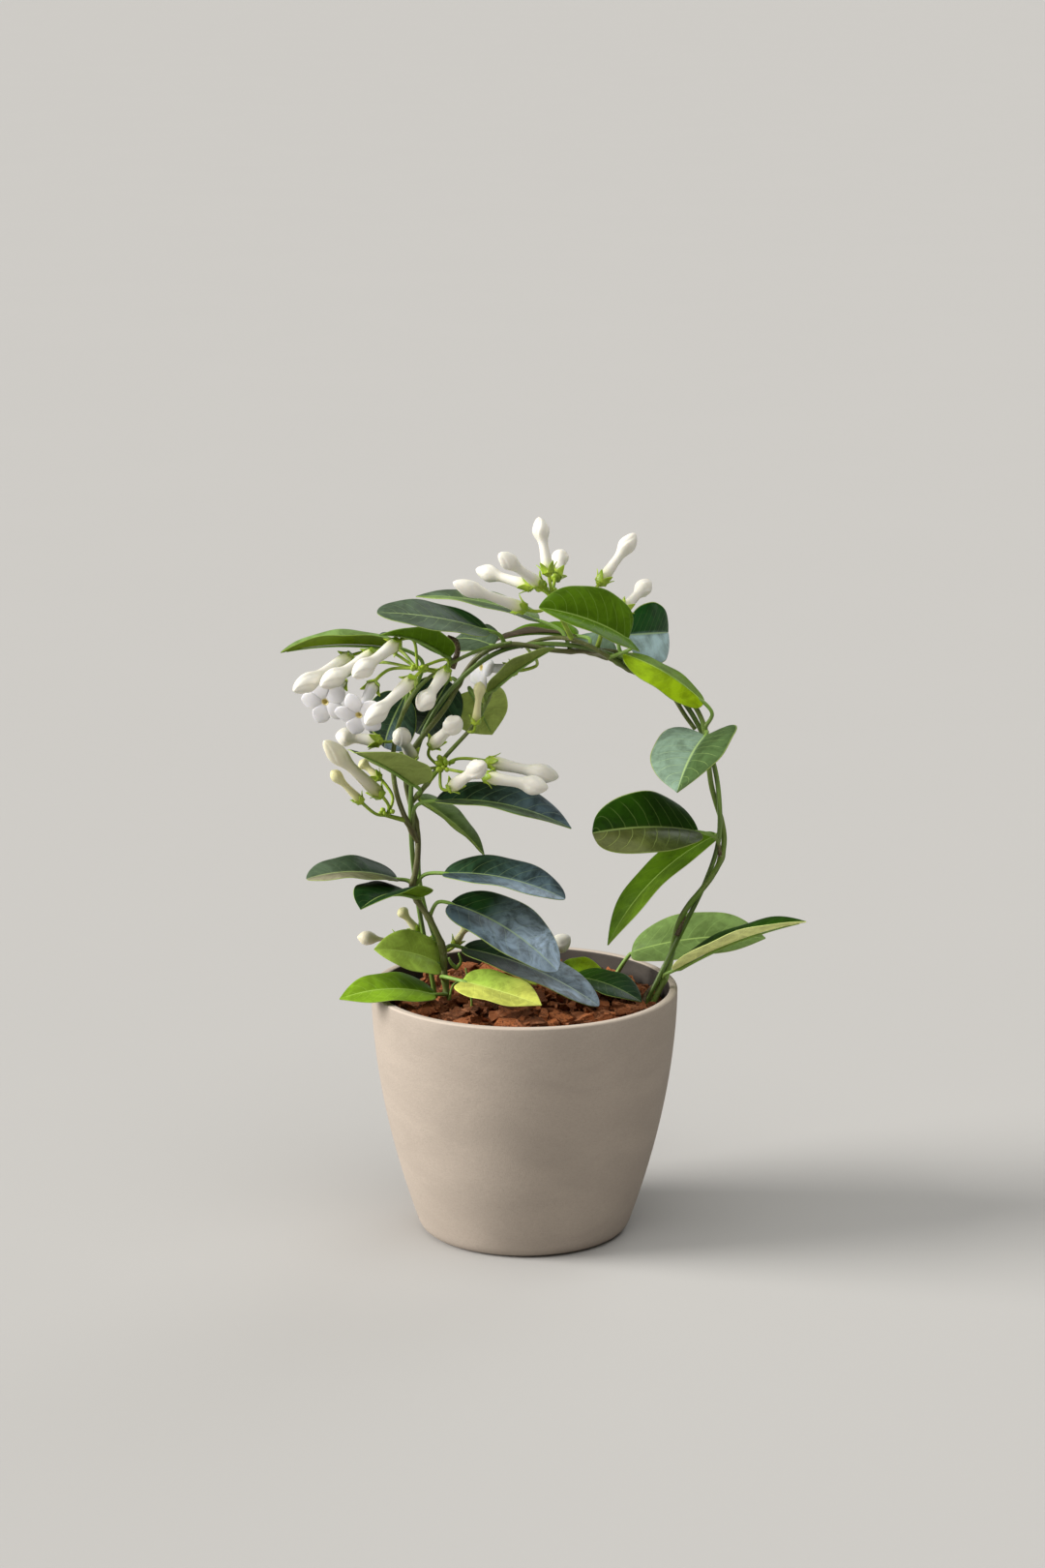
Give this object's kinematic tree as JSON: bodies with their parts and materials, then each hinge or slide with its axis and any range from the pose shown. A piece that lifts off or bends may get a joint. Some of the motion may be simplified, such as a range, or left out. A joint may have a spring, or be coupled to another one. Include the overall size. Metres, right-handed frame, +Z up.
{
  "type": "potted madagascar jasmine",
  "caption": "Madagascar jasmine with white tubular buds and thick oval leaves, trained round a wire hoop in a tapered taupe pot under bark mulch.",
  "frame": {"origin": "centre of the pot's flat foot, on the surface that it stands on", "axes": "+Z up, +Y away from the viewer of the plant's front, +X to the viewer's right, along the hoop's plane"},
  "size_m": [0.3373, 0.1996, 0.4742],
  "materials": {
    "pot": "matt, fine grain",
    "soil": "matt",
    "bark": "rough",
    "hoop_wire": "satin",
    "stem": "satin",
    "spray": "satin",
    "petal": "waxy",
    "leaf_dark": "glossy",
    "leaf_blue": "glossy",
    "leaf_mid": "glossy",
    "leaf_bright": "glossy",
    "leaf_young": "glossy"
  },
  "bodies": {
    "root": {"pot": "pot", "soil": "soil", "bark_mulch": "bark", "hoop": "hoop_wire", "vine_left": "stem", "vine_right": "stem", "leaf_left_far": "leaf_mid", "leaf_left_under": "leaf_mid", "leaf_left_top": "leaf_dark", "leaf_top_edge": "leaf_dark", "leaf_top_back": "leaf_mid", "leaf_inner_up": "leaf_mid", "leaf_crown": "leaf_bright", "leaf_crown_back": "leaf_dark", "leaf_crown_under": "leaf_mid", "leaf_right_arch": "leaf_young", "leaf_right_heart": "leaf_mid", "leaf_right_big": "leaf_dark", "leaf_right_hang": "leaf_bright", "leaf_right_low": "leaf_bright", "leaf_mid_right": "leaf_blue", "leaf_mid_back": "leaf_mid", "leaf_right_3": "leaf_blue", "leaf_right_4": "leaf_blue", "leaf_right_5": "leaf_blue", "leaf_young_right": "leaf_young", "leaf_rim_left": "leaf_bright", "leaf_young_left": "leaf_bright", "leaf_left_low": "leaf_dark", "leaf_left_turn": "leaf_mid", "leaf_left_wing": "leaf_mid", "leaf_hang_left": "leaf_blue", "leaf_hang_mid": "leaf_blue", "leaf_olive": "leaf_young", "leaf_soil_right": "leaf_bright", "leaf_shoot": "leaf_dark", "spray_top": "spray", "spray_top_right": "spray", "spray_left": "spray", "spray_low_left": "spray", "spray_mid": "spray", "spray_base": "spray", "bud_top_1": "petal", "bud_top_2": "petal", "bud_top_3": "petal", "bud_top_4": "petal", "bud_right_1": "petal", "bud_left_1": "petal", "bud_left_3": "petal", "flower_left_1": "petal", "flower_left_2": "petal", "bud_left_4": "petal", "bud_left_5": "petal", "bud_mid_1": "petal", "bud_mid_2": "petal", "bud_mid_3": "petal", "bud_mid_4": "petal", "bud_mid_5": "petal", "bud_outer": "petal", "flower_inner": "petal"}
  },
  "joints": []
}
